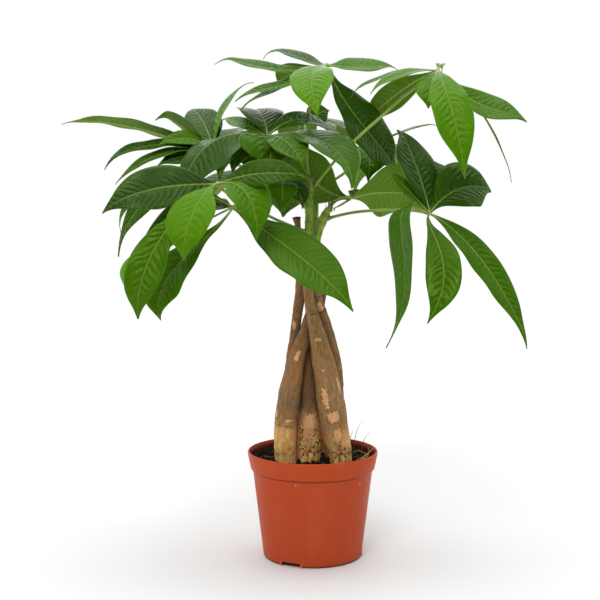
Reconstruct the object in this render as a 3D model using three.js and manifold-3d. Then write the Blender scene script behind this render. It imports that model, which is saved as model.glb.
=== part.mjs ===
// Potted money tree: five braided trunks, green shoots and palmate leaves in a nursery pot.
// Millimetres, +Z up. The origin is on the floor under the middle of the pot, the front faces -Y.
import * as THREE from "three";
import { mergeVertices } from "three/addons/utils/BufferGeometryUtils.js";
import Module from "manifold-3d";

const wasm = await Module();
wasm.setup();

// Pot
const POT_HEIGHT = 99;
const RIM_RADIUS = 60;
const BAND_RADIUS = 58.4;
const BAND_LOW = 82;
const BAND_LOW_RADIUS = 57.2;
const NECK_RADIUS = 55.2;
const NECK_HEIGHT = 78;
const FOOT_RADIUS = 45.8;
const WALL = 1.3;
const POT_SIDES = 48;
const CHANNEL_WIDTH = 18.6;
const CHANNEL_HEIGHT = 4;
const CHANNEL_INNER_END = 15;
const CHANNEL_ANGLES = [246, 6, 126];
const COVER_WALL = 1.4;
const DRAIN_RADIUS = 4;
const DRAIN_DISTANCE = 28;
const PIP_RADIUS = 0.8;
const PIP_ANGLES = [254, 312];

// Trunks and soil
const TRUNK_SIDES = 12;
const TRUNK_RINGS = 16;
const SOIL_TOP = 88;
const SOIL_SIDES = 32;
const FLOOR_TOP = 1.6;

// How wide the joint between two touching pieces is left
const GAP = 0.3;

// Leaves
const BLADE_THICKNESS = 0.8;
const BLADE_FOLD = 0.16;
const HUB_RADIUS = 3;
const STALK_RADIUS = 1.5;
const STALK_FOOT_RADIUS = 2.4;
const LEAFLET_OUTLINE = [0.05, 0.3, 0.73, 0.97, 1, 0.82, 0.46, 0.04];
const TIP_HALF_WIDTH = 0.45;

// Trunks from the bottom up: x, y, z and radius along the middle line
const TRUNKS = {
  trunk_front_left: [
    [-26, -9, 40, 9.5], [-26, -9, 88, 10.3], [-24.8, -9, 124, 10.4], [-21, -8.5, 153, 10.2],
    [-17.5, -7, 172, 8.6], [-13, -4, 190, 6.9], [-7.8, 0, 210, 5.5], [-3, 4.5, 228, 4.7],
    [-0.5, 9.5, 242, 4.4], [1, 12, 262, 4.3], [1, 12, 281, 4.4],
  ],
  trunk_middle: [
    [-4, 0, 40, 10], [-3.7, 0, 88, 10.8], [-3, 1.5, 124, 10], [-4, 3, 153, 8.4],
    [-4.4, 6, 172, 7.3], [-2.5, 9, 190, 6.2], [2, 12.5, 210, 5.3], [6, 15, 228, 4.7],
    [8.5, 16.5, 242, 4.4], [10.5, 18, 262, 4.3], [11, 18.5, 273, 4.4],
  ],
  trunk_front_right: [
    [26, -9, 40, 9.5], [25.8, -9, 88, 10.6], [22.8, -9, 105, 13.1], [19.8, -9, 115, 13.4],
    [17.9, -9, 134, 13], [15.1, -9, 153, 12.5], [11.9, -9, 172, 11.1], [7.8, -9, 190, 9.3],
    [3.6, -9, 210, 7.2], [-1.1, -9, 228, 5.4], [-3.6, -8.5, 242, 4.4], [-5.3, -7.8, 262, 4.2],
    [-4.2, -7, 287, 4.3],
  ],
  trunk_back_right: [
    [16, 24, 40, 9], [17, 23, 88, 9.5], [20, 18, 124, 9], [21, 13.5, 149, 8],
    [21, 9.5, 172, 6.6], [17.8, 5, 194, 5.3], [11.4, 2, 218, 4.7], [6.5, 0.5, 232, 4.4],
    [3.6, -0.2, 242, 4.2], [3.8, -0.8, 262, 4.1], [5, -1.8, 286, 4.1],
  ],
  trunk_back_left: [
    [-20, 24, 40, 8.5], [-20, 22, 88, 9], [-20.5, 16, 124, 8.3], [-20, 12.8, 153, 7.3],
    [-19.6, 10.5, 172, 6.4], [-18.2, 9.2, 190, 5.2], [-15.9, 7.6, 210, 4.5], [-14, 6, 228, 4.4],
    [-11.6, 4.6, 249, 4.6], [-11.8, 2.6, 280, 4.7], [-13.2, 1.6, 314, 5],
  ],
};

// Green shoots on the cut trunk ends, listed the same way, with the trunk each one stands on
const SHOOTS = {
  shoot_front: {
    trunk: "trunk_front_right",
    line: [[-4.2, -7, 283, 3.5], [-4, -6.5, 300, 3.4], [-3.6, -5.5, 322, 3.2], [-2.2, -4.5, 345, 2.8]],
  },
  shoot_right: {
    trunk: "trunk_back_right",
    line: [[5, -1.8, 282, 3.1], [5.6, -2, 294, 3], [11.6, -1.2, 311, 2.7], [15.6, 0, 322, 2.4]],
  },
  shoot_back: {
    trunk: "trunk_front_left",
    line: [[1, 12, 277, 3.4], [2, 16, 300, 3.2], [2, 26, 330, 3], [-2, 28, 356, 2.7]],
  },
};

// Leaves: the shoot, where the stalk leaves it, the point it bends to and the hub at its end.
// Leaflets: tip x, y, z, then the angle in degrees at which the rib leaves the hub, the width,
// the turn of the blade about its rib in degrees and how far the rib bows sideways.
const LEAVES = {
  leaf_front_left: {
    shoot: "shoot_front", root: [-4, -6.6, 300], bend: [-70, -30, 326], hub: [-82, -70, 345],
    leaflets: [
      [-178, -92, 320, 0, 44, -64, 0],
      [-151, -80, 292, -12, 38, -50, 0],
      [-144, -112, 235, -24, 34, -46, 4],
      [-108, -118, 284, 0, 36, -10, 0],
      [-46, -106, 300, 10, 34, 16, 0],
      [-6, -78, 354, 12, 31, 56, 0],
    ],
  },
  leaf_low_left: {
    shoot: "shoot_front", root: [-4.2, -6.8, 293], bend: [-42, -34, 294], hub: [-70, -50, 325],
    leaflets: [
      [32, -112, 243, -32, 44, 36, 0],
      [-129, -82, 233, -38, 36, -36, 0],
      [-166, -54, 247, -12, 42, -34, 0],
      [-166, -42, 284, 12, 16, -40, 0],
      [-170, -34, 300, 14, 13, -30, 0],
    ],
  },
  leaf_centre: {
    shoot: "shoot_front", root: [-3.4, -5.2, 328], bend: [-24, -16, 345], hub: [-40, -30, 386],
    leaflets: [
      [-114, -57, 337, -4, 50, -30, -16],
      [-82, -60, 346, 6, 20, -10, -9],
      [-84, 30, 404, 20, 16, -10, 0],
      [-60, 42, 410, 42, 40, 0, 0],
      [-9, 12, 410, 24, 26, 22, 0],
      [31, -84, 340, 6, 42, 8, 12],
      [-8, -80, 360, 4, 32, 20, 0],
      [-46, -88, 354, 8, 44, 0, 0],
    ],
  },
  leaf_top: {
    shoot: "shoot_front", root: [-2.2, -4, 342], bend: [-14, 2, 408], hub: [13, 0, 450],
    leaflets: [
      [-85, -10, 450, 4, 24, -16, 0],
      [3, -78, 401, 6, 42, 0, -8],
      [-69, -34, 417, -10, 15, -20, 0],
      [-63, -14, 409, -16, 13, -20, 0],
      [-44, 30, 459, 30, 26, -10, 0],
      [75, 20, 450, 20, 30, 24, 0],
      [80, 44, 353, -56, 36, 76, 0],
      [0, 62, 428, 16, 26, 0, 0],
    ],
  },
  leaf_upper_right: {
    shoot: "shoot_front", root: [-1.6, -4.4, 338], bend: [38, -12, 392], hub: [111, -12, 444],
    leaflets: [
      [34, -20, 423, 10, 24, -26, 0],
      [48, -52, 424, 4, 16, -16, 0],
      [44, 52, 392, -22, 32, 48, 0],
      [98, -52, 409, -6, 22, 0, 0],
      [128, -84, 350, -6, 34, 4, -3],
      [188, -30, 398, -26, 27, 40, 0],
      [179, -12, 348, -38, 20, 6, 0],
      [120, 22, 449, 24, 14, 0, 0],
    ],
  },
  leaf_right: {
    shoot: "shoot_right", root: [12, -1.2, 312], bend: [58, -8, 313], hub: [104, -20, 318],
    leaflets: [
      [81, 16, 394, 70, 44, 0, 0],
      [161, -6, 336, 48, 44, 48, 0],
      [185, -62, 206, -38, 31, 32, 0],
      [94, -96, 229, -12, 29, 4, 15],
      [62, -70, 207, 10, 28, 22, 5],
      [66, -16, 357, 46, 13, -40, 0],
      [112, 24, 367, 62, 34, 0, 0],
    ],
  },
  leaf_inner_right: {
    shoot: "shoot_right", root: [14.8, -0.2, 320], bend: [20, 6, 333], hub: [34, 20, 330],
    leaflets: [
      [108, 48, 336, 8, 50, -54, 0],
      [-10, 10, 370, 20, 30, 72, 0],
      [42, -18, 322, 5, 12, 0, 0],
      [70, 84, 330, 14, 34, 0, 0],
    ],
  },
  leaf_upper_left: {
    shoot: "shoot_back", root: [-1.8, 27.4, 352], bend: [-46, 30, 346], hub: [-91, 30, 371],
    leaflets: [
      [-229, 12, 398, 30, 34, -10, 0],
      [-186, -14, 357, 12, 30, -14, 0],
      [-178, -34, 341, -4, 30, -24, 0],
      [-150, 52, 403, 42, 34, -40, 0],
      [-112, 96, 410, 48, 38, -10, 0],
      [-66, 88, 397, 36, 30, 0, 0],
      [-57, 46, 439, 62, 10, 0, 8],
      [-142, 2, 377, 40, 20, -40, 0],
    ],
  },
  leaf_young: {
    shoot: "shoot_front", root: [-3.6, -5.6, 320], bend: [-16, -12, 330], hub: [-26, -20, 347],
    leaflets: [
      [-40, -54, 329, 10, 24, -10, 0],
      [-12, -50, 330, 10, 24, 14, 0],
      [-52, -22, 340, 12, 12, -10, 0],
    ],
  },
  leaf_back_left: {
    shoot: "shoot_back", root: [1.9, 24.8, 326], bend: [-26, 46, 330], hub: [-52, 78, 352],
    leaflets: [
      [-132, 72, 306, 4, 40, -20, 0],
      [-116, 132, 304, 4, 42, -10, 0],
      [-46, 160, 306, 4, 42, 0, 0],
      [-2, 130, 330, 8, 34, 14, 0],
    ],
  },
  leaf_back_right: {
    shoot: "shoot_back", root: [1.2, 27, 338], bend: [28, 50, 345], hub: [56, 76, 376],
    leaflets: [
      [52, 34, 346, 4, 34, -10, 0],
      [122, 80, 400, 34, 22, 0, 0],
      [132, 96, 334, 6, 40, 14, 0],
      [104, 146, 332, 6, 42, 6, 0],
      [44, 156, 334, 6, 42, 0, 0],
    ],
  },
  leaf_back: {
    shoot: "shoot_back", root: [-1.6, 27.6, 353], bend: [-8, 46, 402], hub: [-6, 70, 400],
    leaflets: [
      [56, 86, 380, 10, 34, 14, 0],
      [40, 132, 368, 12, 36, 8, 0],
      [-20, 150, 362, 12, 38, 0, 0],
      [-66, 116, 368, 10, 36, -12, 0],
      [22, 40, 388, 10, 26, 0, 0],
    ],
  },
};

const COLOURS = {
  pot: 0xb4502c,
  soil: 0x2a2018,
  trunk: 0x86734f,
  shoot: 0x7f9a3a,
  leaf: 0x3f6f1c,
};

const vector = (numbers) => new THREE.Vector3(numbers[0], numbers[1], numbers[2]);
const radians = THREE.MathUtils.degToRad;

// A closed list of points and triangles as a solid that can be joined and cut
function solidFrom(points, triangles) {
  return new wasm.Manifold(new wasm.Mesh({
    numProp: 3,
    vertProperties: new Float32Array(points.flat()),
    triVerts: new Uint32Array(triangles.flat()),
  }));
}

// The same for a closed three.js shape
function solidOf(geometry) {
  const bare = new THREE.BufferGeometry();
  bare.setAttribute("position", geometry.getAttribute("position"));
  bare.setIndex(geometry.getIndex());
  const merged = mergeVertices(bare, 1e-3);
  const place = merged.getAttribute("position");
  const index = merged.getIndex().array;
  const points = [];
  for (let i = 0; i < place.count; i += 1) {
    points.push([place.getX(i), place.getY(i), place.getZ(i)]);
  }
  const triangles = [];
  for (let i = 0; i < index.length; i += 3) {
    const corner = [index[i], index[i + 1], index[i + 2]];
    if (new Set(corner).size === 3) triangles.push(corner);
  }
  return solidFrom(points, triangles);
}

function meshOf(name, solid, colour, roughness) {
  const found = solid.getMesh();
  const geometry = new THREE.BufferGeometry();
  geometry.setAttribute("position", new THREE.BufferAttribute(new Float32Array(found.vertProperties), 3));
  geometry.setIndex(new THREE.BufferAttribute(new Uint32Array(found.triVerts), 1));
  geometry.computeVertexNormals();
  const material = new THREE.MeshStandardMaterial({ color: colour, roughness, metalness: 0 });
  const mesh = new THREE.Mesh(geometry, material);
  mesh.name = name;
  return mesh;
}

// A profile of radius and height pairs turned about the upright axis
function turned(profile, sides) {
  const points = profile.map(([radius, height]) => new THREE.Vector2(radius, height));
  const geometry = new THREE.LatheGeometry(points, sides);
  geometry.rotateX(Math.PI / 2);
  return solidOf(geometry);
}

function box(size, middle, turn) {
  const geometry = new THREE.BoxGeometry(...size);
  geometry.translate(...middle);
  geometry.rotateZ(turn);
  return solidOf(geometry);
}

// A round limb through points of x, y, z and radius, closed at both ends
function limb(line, sides, rings, extra = 0) {
  const curve = new THREE.CatmullRomCurve3(line.map(vector));
  const side = new THREE.Vector3(1, 0, 0);
  const points = [];
  const triangles = [];
  for (let i = 0; i <= rings; i += 1) {
    const along = i / rings;
    const middle = curve.getPoint(along);
    const forward = curve.getTangent(along);
    side.addScaledVector(forward, -side.dot(forward)).normalize();
    const across = new THREE.Vector3().crossVectors(forward, side);
    const radius = radiusAt(line, along) + extra;
    if (extra > 0 && i === 0) middle.addScaledVector(forward, -extra);
    if (extra > 0 && i === rings) middle.addScaledVector(forward, extra);
    for (let k = 0; k < sides; k += 1) {
      const turn = (2 * Math.PI * k) / sides;
      const point = middle.clone()
        .addScaledVector(side, radius * Math.cos(turn))
        .addScaledVector(across, radius * Math.sin(turn));
      points.push(point.toArray());
    }
  }
  for (let i = 0; i < rings; i += 1) {
    for (let k = 0; k < sides; k += 1) {
      const a = i * sides + k;
      const b = i * sides + (k + 1) % sides;
      triangles.push([a, b, b + sides], [a, b + sides, a + sides]);
    }
  }
  const last = rings * sides;
  for (let k = 1; k < sides - 1; k += 1) {
    triangles.push([0, k + 1, k], [last, last + k, last + k + 1]);
  }
  return solidFrom(points, triangles);
}

function radiusAt(line, along) {
  const place = along * (line.length - 1);
  const low = Math.min(Math.floor(place), line.length - 2);
  return THREE.MathUtils.lerp(line[low][3], line[low + 1][3], place - low);
}

// One blade from the hub to its tip: a rib in an upright plane with a folded strip on each side
function leaflet(hub, [x, y, z, pitch, width, turn, bow]) {
  const start = vector(hub);
  const tip = new THREE.Vector3(x, y, z);
  const length = start.distanceTo(tip);
  const heading = new THREE.Vector3(x - hub[0], y - hub[1], 0).normalize();
  const left = new THREE.Vector3(-heading.y, heading.x, 0);
  const lift = radians(pitch);
  const control = start.clone()
    .addScaledVector(heading, 0.5 * length * Math.cos(lift))
    .addScaledVector(left, 2 * bow);
  control.z += 0.5 * length * Math.sin(lift);
  const rib = new THREE.QuadraticBezierCurve3(start, control, tip);
  const steps = LEAFLET_OUTLINE.length - 1;
  const points = [];
  for (let i = 0; i <= steps; i += 1) {
    const middle = rib.getPoint(i / steps);
    const forward = rib.getTangent(i / steps);
    const flat = left.clone().addScaledVector(forward, -left.dot(forward)).normalize();
    const up = new THREE.Vector3().crossVectors(forward, flat);
    const side = flat.clone().applyAxisAngle(forward, radians(turn));
    const face = up.applyAxisAngle(forward, radians(turn));
    const half = Math.max(TIP_HALF_WIDTH, 0.5 * width * LEAFLET_OUTLINE[i]);
    for (const level of [0.5, -0.5]) {
      for (const reach of [1, 0, -1]) {
        const rise = level * BLADE_THICKNESS + Math.abs(reach) * BLADE_FOLD * half;
        points.push(middle.clone()
          .addScaledVector(side, reach * half)
          .addScaledVector(face, rise)
          .toArray());
      }
    }
  }
  return solidFrom(points, bladeTriangles(steps));
}

// Six points a step: left edge, rib and right edge above, then the same three below
function bladeTriangles(steps) {
  const triangles = [];
  const ring = [0, 3, 4, 5, 2, 1];
  for (let i = 0; i < steps; i += 1) {
    const here = 6 * i;
    const next = here + 6;
    for (let k = 0; k < 6; k += 1) {
      const a = ring[k];
      const b = ring[(k + 1) % 6];
      if (k === 2 || k === 4) {
        triangles.push([here + a, next + a, here + b], [here + b, next + a, next + b]);
      } else {
        triangles.push([here + a, next + b, here + b], [here + a, next + a, next + b]);
      }
    }
  }
  const end = 6 * steps;
  for (const [a, b, c, d] of [[0, 1, 4, 3], [1, 2, 5, 4]]) {
    triangles.push([a, c, b], [a, d, c]);
    triangles.push([end + a, end + b, end + c], [end + a, end + c, end + d]);
  }
  return triangles;
}

// A stalk, the hub at its end and the leaflets that spread from it
function leafSolid(leaf) {
  const [root, bend, hub] = [leaf.root, leaf.bend, leaf.hub].map(vector);
  const stalk = new THREE.QuadraticBezierCurve3(root, bend, hub);
  const line = [0, 0.12, 0.35, 0.6, 0.85, 1].map((along) => {
    const radius = along === 0 ? STALK_FOOT_RADIUS : STALK_RADIUS;
    return [...stalk.getPoint(along).toArray(), radius];
  });
  const knob = new THREE.IcosahedronGeometry(HUB_RADIUS, 0);
  knob.translate(...leaf.hub);
  const pieces = [limb(line, 6, 6), solidOf(knob)];
  for (const blade of leaf.leaflets) pieces.push(leaflet(leaf.hub, blade));
  return wasm.Manifold.union(pieces);
}

// A straight bar across the pot's foot, pointing out at an angle
function channel(angle, width, low, high, inner, outer) {
  const length = outer - inner;
  return box([length, width, high - low], [inner + length / 2, 0, (low + high) / 2], radians(angle));
}

// Thin shell with a rim band, three raised drain channels under the foot and two pips
function potSolid() {
  const outside = [
    [0, 0], [FOOT_RADIUS - 1.9, 0], [FOOT_RADIUS - 0.4, 0.9], [FOOT_RADIUS, 2.6],
    [NECK_RADIUS, NECK_HEIGHT], [BAND_LOW_RADIUS, BAND_LOW], [BAND_RADIUS, POT_HEIGHT - 4.2],
    [RIM_RADIUS - 0.2, POT_HEIGHT - 3.4], [RIM_RADIUS, POT_HEIGHT - 1.6], [RIM_RADIUS - 0.6, POT_HEIGHT],
  ];
  const inside = [
    [RIM_RADIUS - 1.9, POT_HEIGHT], [BAND_RADIUS - WALL, POT_HEIGHT - 5],
    [BAND_LOW_RADIUS - WALL, BAND_LOW], [NECK_RADIUS - WALL, NECK_HEIGHT],
    [FOOT_RADIUS - WALL, 3.4], [FOOT_RADIUS - 2.6, FLOOR_TOP], [0, FLOOR_TOP],
  ];
  const shell = turned([...outside, ...inside], POT_SIDES);
  const filled = turned([...outside, [0, POT_HEIGHT]], POT_SIDES);
  let pot = shell;
  for (const angle of CHANNEL_ANGLES) pot = pot.add(channelCover(angle, 0).intersect(filled));
  for (const angle of CHANNEL_ANGLES) {
    pot = pot.subtract(channel(angle, CHANNEL_WIDTH, -1, CHANNEL_HEIGHT, CHANNEL_INNER_END, 60));
    pot = pot.subtract(drain(angle));
  }
  for (const angle of PIP_ANGLES) pot = pot.add(pip(angle));
  return pot;
}

// The raised floor over one channel
function channelCover(angle, extra) {
  const wall = COVER_WALL + extra;
  const top = CHANNEL_HEIGHT + wall;
  return channel(angle, CHANNEL_WIDTH + 2 * wall, 0.4, top, CHANNEL_INNER_END - wall, FOOT_RADIUS - 0.8);
}

function drain(angle) {
  const geometry = new THREE.CylinderGeometry(DRAIN_RADIUS, DRAIN_RADIUS, 4, 16);
  geometry.rotateX(Math.PI / 2);
  geometry.translate(DRAIN_DISTANCE, 0, CHANNEL_HEIGHT + 1);
  geometry.rotateZ(radians(angle));
  return solidOf(geometry);
}

// A small moulding pip just under the band
function pip(angle) {
  const geometry = new THREE.IcosahedronGeometry(PIP_RADIUS, 1);
  geometry.translate(NECK_RADIUS, 0, NECK_HEIGHT - 1);
  geometry.rotateZ(radians(angle));
  return solidOf(geometry);
}

// Soil that fills the pot, with a plain hole round each trunk
function soilSolid(trunks) {
  const clear = WALL + GAP;
  const profile = [
    [0, FLOOR_TOP + GAP], [FOOT_RADIUS - 3.1, FLOOR_TOP + GAP], [FOOT_RADIUS - clear - 0.1, 3.6],
    [NECK_RADIUS - clear, NECK_HEIGHT - 0.2], [BAND_LOW_RADIUS - clear - 0.2, BAND_LOW],
    [BAND_LOW_RADIUS - clear + 0.4, SOIL_TOP - 1.5],
    [50, SOIL_TOP - 0.4], [38, SOIL_TOP], [22, SOIL_TOP + 0.8], [0, SOIL_TOP + 1.2],
  ];
  let soil = turned(profile, SOIL_SIDES);
  for (const angle of CHANNEL_ANGLES) soil = soil.subtract(channelCover(angle, GAP));
  for (const line of Object.values(trunks)) {
    soil = soil.subtract(limb(line, TRUNK_SIDES, TRUNK_RINGS, GAP));
  }
  return soil;
}

// What is left outside a seat, without loose slivers
function cutFrom(solid, seat) {
  const parts = solid.subtract(seat).decompose();
  return parts.reduce((best, part) => (part.volume() > best.volume() ? part : best));
}

// The whole plant
const tree = new THREE.Group();
tree.name = "potted_money_tree";
tree.add(meshOf("pot", potSolid(), COLOURS.pot, 0.5));
tree.add(meshOf("soil", soilSolid(TRUNKS), COLOURS.soil, 0.95));

for (const [name, line] of Object.entries(TRUNKS)) {
  tree.add(meshOf(name, limb(line, TRUNK_SIDES, TRUNK_RINGS), COLOURS.trunk, 0.8));
}
for (const [name, shoot] of Object.entries(SHOOTS)) {
  const seat = limb(TRUNKS[shoot.trunk], TRUNK_SIDES, TRUNK_RINGS, GAP);
  tree.add(meshOf(name, cutFrom(limb(shoot.line, 8, 8), seat), COLOURS.shoot, 0.6));
}
for (const [name, leaf] of Object.entries(LEAVES)) {
  const seat = limb(SHOOTS[leaf.shoot].line, 8, 8, GAP);
  tree.add(meshOf(name, cutFrom(leafSolid(leaf), seat), COLOURS.leaf, 0.4));
}

export default tree;
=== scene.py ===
"""Looks of the potted money tree: smooth pot, crumbly soil, barked trunks, green shoots and veined leaves.

The measures below are in millimetres, +Z up, and Blender's objects are in metres.
"""
import math
import random
from types import SimpleNamespace

import bpy
from mathutils import Euler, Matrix, Quaternion, Vector, noise


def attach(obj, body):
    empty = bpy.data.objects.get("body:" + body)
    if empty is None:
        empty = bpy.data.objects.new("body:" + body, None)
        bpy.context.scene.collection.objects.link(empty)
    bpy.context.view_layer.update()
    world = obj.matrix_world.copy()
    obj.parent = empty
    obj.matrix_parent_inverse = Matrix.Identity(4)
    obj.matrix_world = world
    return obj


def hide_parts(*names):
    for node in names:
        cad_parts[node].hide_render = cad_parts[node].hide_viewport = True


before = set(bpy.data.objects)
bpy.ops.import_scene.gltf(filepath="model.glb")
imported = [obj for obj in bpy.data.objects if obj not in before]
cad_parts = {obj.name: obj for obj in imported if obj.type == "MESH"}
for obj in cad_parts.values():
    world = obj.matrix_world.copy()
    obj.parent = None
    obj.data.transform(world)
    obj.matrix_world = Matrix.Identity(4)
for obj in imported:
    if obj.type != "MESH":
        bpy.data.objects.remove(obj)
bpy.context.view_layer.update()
scene = bpy.context.scene

MM = 0.001
UP = Vector((0, 0, 1))

# Pot
POT_HEIGHT = 99
RIM_RADIUS = 60
BAND_RADIUS = 58.4
BAND_LOW = 82.6
BAND_LOW_RADIUS = 57.2
NECK_RADIUS = 55.2
NECK_HEIGHT = 81
FOOT_RADIUS = 45.8
WALL = 1.3
FLOOR_TOP = 1.6
CORNER_RADIUS = 0.6
POT_SIDES = 192
SHARP_ANGLE = 34

# The pot's cross-section as radius and height, from the middle of its underside to its inner floor
POT_PROFILE = [
    (0.01, 0), (FOOT_RADIUS - 1.9, 0), (FOOT_RADIUS - 0.4, 0.9), (FOOT_RADIUS, 2.6),
    (NECK_RADIUS, NECK_HEIGHT), (BAND_LOW_RADIUS, BAND_LOW), (RIM_RADIUS - 0.4, POT_HEIGHT - 5),
    (RIM_RADIUS - 0.1, POT_HEIGHT - 3), (RIM_RADIUS, POT_HEIGHT - 1.4), (RIM_RADIUS - 0.6, POT_HEIGHT - 0.2),
    (RIM_RADIUS - 1.4, POT_HEIGHT - 0.2), (BAND_RADIUS - WALL, POT_HEIGHT - 5),
    (BAND_LOW_RADIUS - WALL, BAND_LOW), (NECK_RADIUS - WALL, NECK_HEIGHT), (FOOT_RADIUS - WALL, 3.4),
    (FOOT_RADIUS - 2.6, FLOOR_TOP), (0.01, FLOOR_TOP),
]

# Channels across the pot's underside, the cover over each, and the drain hole in it
CHANNEL_ANGLES = [244, 4, 124]
CHANNEL_WIDTH = 18.6
CHANNEL_HEIGHT = 4
CHANNEL_INNER_END = 15
COVER_WALL = 1.4
DRAIN_RADIUS = 4
DRAIN_DEPTH = 4
DRAIN_DISTANCE = 28

# Moulding pips on the pot's neck: angle, and height from the neck's top edge
PIP_RADIUS = 1.0
PIPS = [(253.6, -2.5), (319.4, -5)]

# Soil: its top, the heap at its back, its fall to the edge, the radius and height of each ring of its
# sides, and the height and scale of its lumps
SOIL_TOP = 88
SOIL_HEAP = 3.2
SOIL_FALL = 1.6
SOIL_GAP = 0.4
SOIL_RADIUS = BAND_LOW_RADIUS - WALL - SOIL_GAP
SOIL_UNDER = [
    (SOIL_RADIUS - 1, BAND_LOW), (NECK_RADIUS - WALL - SOIL_GAP, NECK_HEIGHT - 1),
    (FOOT_RADIUS - WALL - SOIL_GAP, 7), (FOOT_RADIUS - 4, 5.9),
]
SOIL_LUMPS = [(1.3, 0.09), (1.0, 0.27), (0.6, 0.8)]
SOIL_SIDES = 180
SOIL_RINGS = 56
CRUMBS = 620
CRUMB_ROWS = 6
CRUMB_SIDES = 9
FIBRES = 70

# Straw and root ends at the right edge of the soil: the points each runs through and its radius
STRAWS = [
    ([(44, -10, 92), (49, -7, 95.5), (54, -4, 99), (56.8, -1, 102)], 0.75),
    ([(46, -12, 93), (50, -8, 94), (52, -3, 97), (51.4, 2, 101)], 0.45),
    ([(37, 8, 94), (42, 7, 96.5), (47, 3, 95.5), (52, -3, 93.5)], 0.4),
    ([(40, -6, 90), (44, -8, 92.5), (48, -10, 92), (52, -9, 93)], 0.5),
]

# Fine dry stems that stand in the soil behind the right trunks
HAIR_RADIUS = 0.34
HAIRS = [
    [(37, 6, 87), (38, 6, 99), (39.8, 6, 110), (42, 6, 118), (46.5, 6, 125)],
    [(34, 3, 87), (34.6, 3, 97), (35.4, 3, 111), (37.6, 3, 117)],
    [(45, 8, 87), (46, 8, 98), (48.6, 8, 108), (53.3, 8, 114)],
]

# Trunks from the bottom up: x, y, z and radius along the middle line
TRUNKS = {
    "trunk_front_left": [
        (-24.6, -9, 40, 9), (-24.7, -9, 88, 9.2), (-25.5, -9, 108, 10.2), (-24.8, -9, 124, 10.4),
        (-21, -8.5, 153, 10.2), (-17.5, -7, 172, 8.6), (-13, -4, 190, 6.9), (-6.4, 0, 210, 5.5),
        (-1.4, 4.5, 228, 4.7), (0.6, 9.5, 242, 4.4), (1, 12, 262, 4.3), (1, 12, 281, 4.4),
    ],
    "trunk_middle": [
        (-4, 0, 40, 10), (-3.7, 0, 88, 10.8), (-3, 1.5, 124, 10), (-4, 3, 153, 8.4),
        (-4.4, 6, 172, 7.3), (-2.5, 9, 190, 6.2), (2, 12.5, 210, 5.3), (6, 15, 228, 4.7),
        (8.5, 16.5, 242, 4.4), (10.5, 18, 262, 4.3), (11, 18.5, 273, 4.4),
    ],
    "trunk_front_right": [
        (26, -9, 40, 9.5), (25.9, -9, 88, 9.7), (24.3, -9, 104, 10.8), (21.4, -9, 116, 12.2),
        (18.4, -9, 134, 12.8), (15.1, -9, 153, 12.5), (11.9, -9, 172, 11.1), (7.8, -9, 190, 9.3),
        (3.6, -9, 210, 7.2), (-1.1, -9, 228, 5.4), (-3.6, -8.5, 242, 4.4), (-5.3, -7.8, 262, 4.2),
        (-4.2, -7, 287, 4.3),
    ],
    "trunk_back_right": [
        (13, 24, 40, 9), (13.6, 23, 88, 9.5), (17, 18, 124, 9.2), (21, 13.5, 149, 8),
        (21, 9.5, 172, 6.6), (17.8, 5, 194, 5.3), (11.4, 2, 218, 4.7), (6.5, 0.5, 232, 4.4),
        (3.6, -0.2, 242, 4.2), (3.8, -0.8, 262, 4.1), (5, -1.8, 286, 4.1),
    ],
    "trunk_back_left": [
        (-20, 24, 40, 8.5), (-20, 22, 88, 9), (-20.5, 16, 124, 8.3), (-20, 12.8, 153, 7.3),
        (-19.6, 10.5, 172, 6.4), (-18.2, 9.2, 190, 5.2), (-15.9, 7.6, 210, 4.5), (-13.6, 6, 228, 4.7),
        (-11, 4.6, 249, 4.9), (-11.8, 2.6, 280, 4.7), (-12.6, 2.2, 294, 3.6), (-13.6, 1.8, 304, 2.6),
        (-14.4, 1.6, 309, 2.9), (-14.8, 1.6, 313.5, 4.3),
    ],
}

# Trunks that end as bare stumps, and how much a trunk's cut end draws in
BARE_ENDS = ("trunk_middle", "trunk_back_left")
BARE_END_SHRINK = 0.1
SHOOT_END_SHRINK = 0.35

# Height over which a trunk's foot comes in
FOOT_FADE = 18

# How each trunk is coloured: its share of olive, the height up to which its foot is tan, how much painted
# shade darkens the rest, and how cracked the foot is
BARK = {
    "trunk_front_left": (0.15, 125, 0.05, 0.15),
    "trunk_middle": (0.0, 133, 0.45, 1.0),
    "trunk_front_right": (0.5, 117, 0.0, 0.9),
    "trunk_back_right": (0.35, 112, 0.1, 0.6),
    "trunk_back_left": (0.1, 110, 0.0, 0.6),
}

# Places where the outer bark has come off: x, z, half width, half height, lean, and the side they are
# on, with -1 for the front and 1 for the back
PEELED = {
    "trunk_front_left": [
        (-13.4, 190, 2.2, 3.2, 0.2, -1), (-15.2, 186, 2.6, 2.4, 0, -1), (-33.4, 136, 1.2, 4, 0, -1),
        (-22, 129.5, 5.5, 1.6, 0, -1), (-24, 150, 4, 9, 0, 1),
    ],
    "trunk_middle": [(-2.8, 126, 7.4, 9, 0, -1), (-5, 112, 5, 9, 0, -1), (-4, 140, 4, 8, 0, 1)],
    "trunk_front_right": [
        (10.9, 151, 2.9, 10.5, -0.2, -1), (18.6, 133.5, 6, 6, 0, -1), (4.4, 203.5, 3.8, 2.2, 0, -1),
        (23.4, 163, 1.0, 9, -0.25, -1), (9.6, 176, 1.5, 1.3, 0, -1), (22.4, 116, 4, 8, 0.1, -1),
        (16, 130, 5, 8, 0, 1),
    ],
    "trunk_back_right": [(6.4, 232, 3.2, 5, 0, -1), (19, 150, 4, 11, 0, 1), (21, 190, 2.4, 5, 0, 1)],
    "trunk_back_left": [(-17, 214, 1.6, 4, 0, -1), (-20, 120, 5, 9, 0, 1), (-19, 175, 3, 6, 0, 1)],
}

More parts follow.
